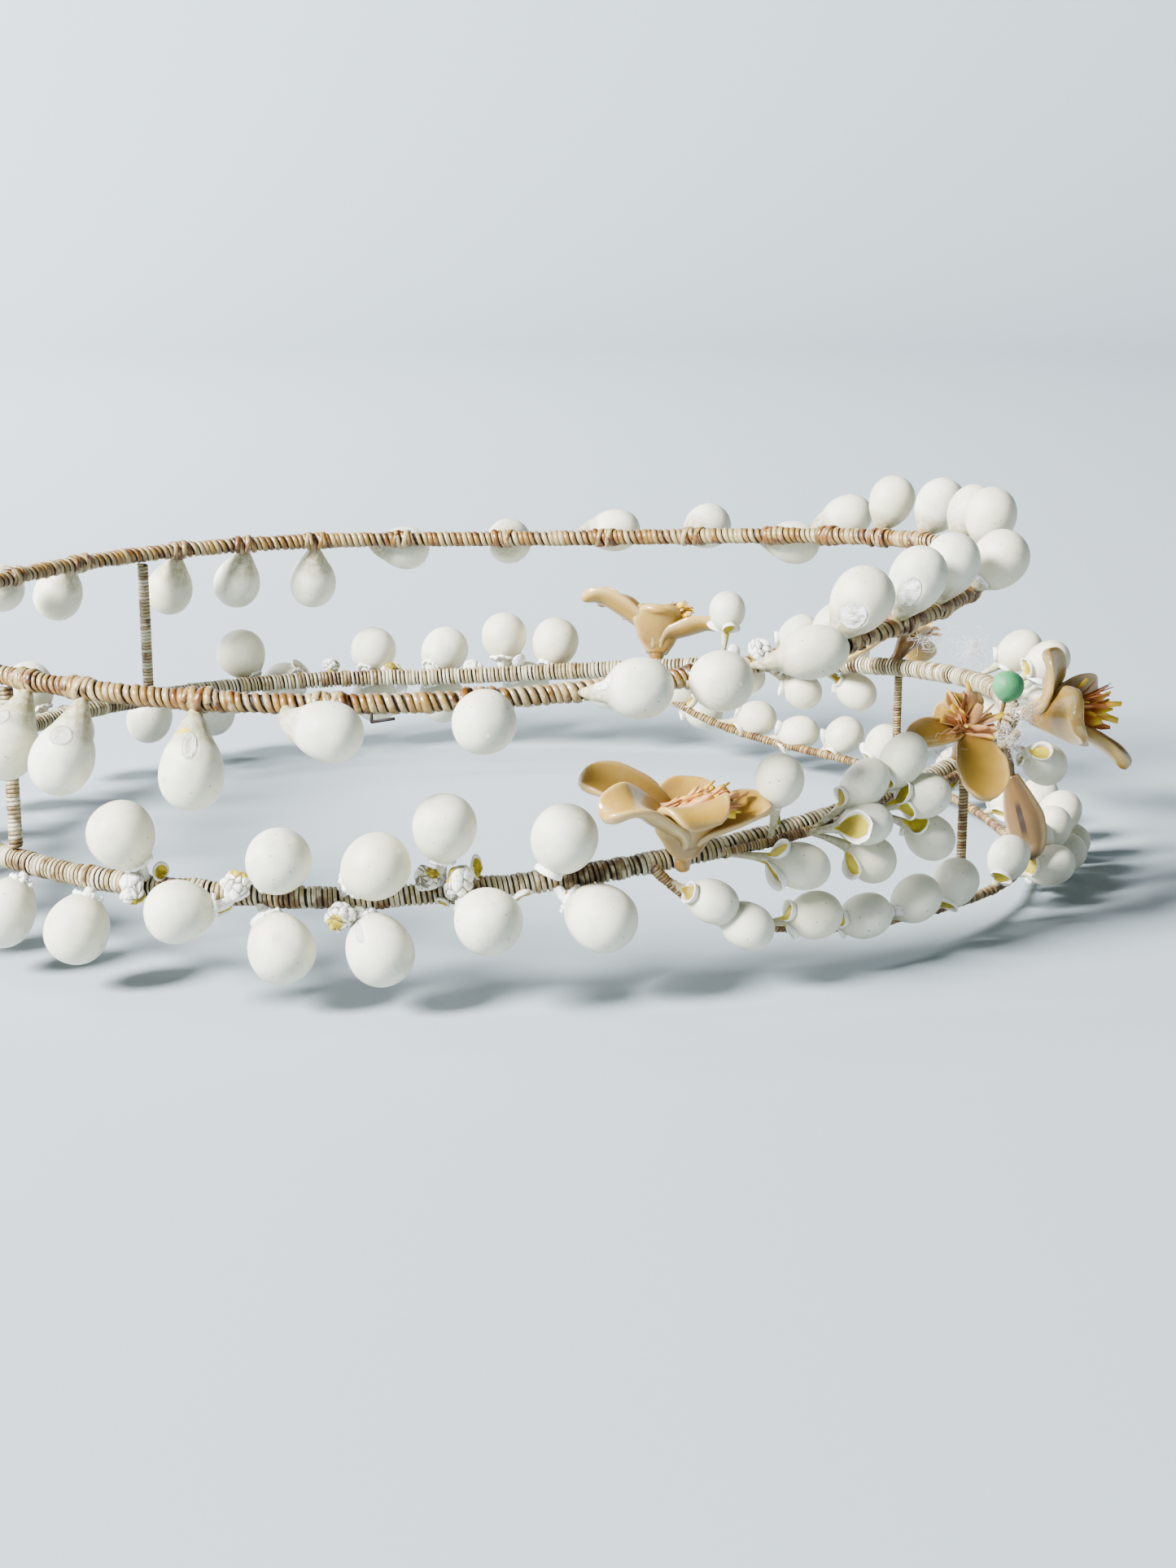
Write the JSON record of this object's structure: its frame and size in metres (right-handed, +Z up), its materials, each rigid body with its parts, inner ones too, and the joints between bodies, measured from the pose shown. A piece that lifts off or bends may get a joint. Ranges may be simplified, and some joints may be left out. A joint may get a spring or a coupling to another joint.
{
  "type": "wax flower headdress",
  "caption": "Bridal wreath of two thread-wrapped wire hoops, set with white wax beads, sprays of small wax buds and aged wax flowers, open for a head.",
  "frame": {"origin": "middle of the wreath's plan box, on the surface that it rests on", "axes": "+Z up, -Y towards the front of the head, +X towards the wearer's left"},
  "size_m": [0.188, 0.2316, 0.0712],
  "materials": {
    "straw_floss": "flat straw floss wound around wire, glossy, with brown spots of age",
    "silk_thread": "fine cream thread wound around wire",
    "white_wax": "dull white wax over cotton cores",
    "aged_wax": "thick translucent wax, yellowed to amber, satin",
    "dry_stamens": "dry straw and paper stamens with yellow tips",
    "green_wax": "dull mint-green wax"
  },
  "bodies": {
    "root": {"upper_band": "straw_floss", "lower_band": "silk_thread", "strut_near": "silk_thread", "strut_far": "silk_thread", "upper_bead_01": "white_wax", "upper_bead_02": "white_wax", "upper_bead_03": "white_wax", "upper_bead_04": "white_wax", "upper_bead_05": "white_wax", "upper_bead_06": "white_wax", "upper_bead_07": "white_wax", "upper_bead_08": "white_wax", "upper_bead_09": "white_wax", "upper_bead_10": "white_wax", "upper_bead_11": "white_wax", "upper_bead_12": "white_wax", "upper_bead_13": "white_wax", "upper_bead_14": "white_wax", "upper_bead_15": "white_wax", "upper_bead_16": "white_wax", "upper_bead_17": "white_wax", "upper_bead_18": "white_wax", "upper_bead_19": "white_wax", "upper_bead_20": "white_wax", "upper_bead_21": "white_wax", "upper_bead_22": "white_wax", "upper_bead_23": "white_wax", "upper_bead_24": "white_wax", "upper_bead_25": "white_wax", "upper_beads_back": "white_wax", "lower_bead_01": "white_wax", "lower_bead_02": "white_wax", "lower_bead_03": "white_wax", "lower_bead_04": "white_wax", "lower_bead_05": "white_wax", "lower_bead_06": "white_wax", "lower_bead_07": "white_wax", "lower_bead_08": "white_wax", "lower_bead_09": "white_wax", "lower_bead_10": "white_wax", "lower_bead_11": "white_wax", "lower_bead_12": "white_wax", "lower_beads_far": "white_wax", "lower_beads_back": "white_wax", "spray_near": "white_wax", "spray_far": "white_wax", "swag": "white_wax", "flower_side_near": "aged_wax", "flower_side_far": "aged_wax", "flower_temple_near": "aged_wax", "flower_temple_far": "aged_wax", "flower_front": "aged_wax", "loose_petal": "aged_wax", "stamens_side_near": "dry_stamens", "stamens_side_far": "dry_stamens", "stamens_temple_near": "dry_stamens", "stamens_temple_far": "dry_stamens", "stamens_front": "dry_stamens", "green_bead": "green_wax"}
  },
  "joints": []
}
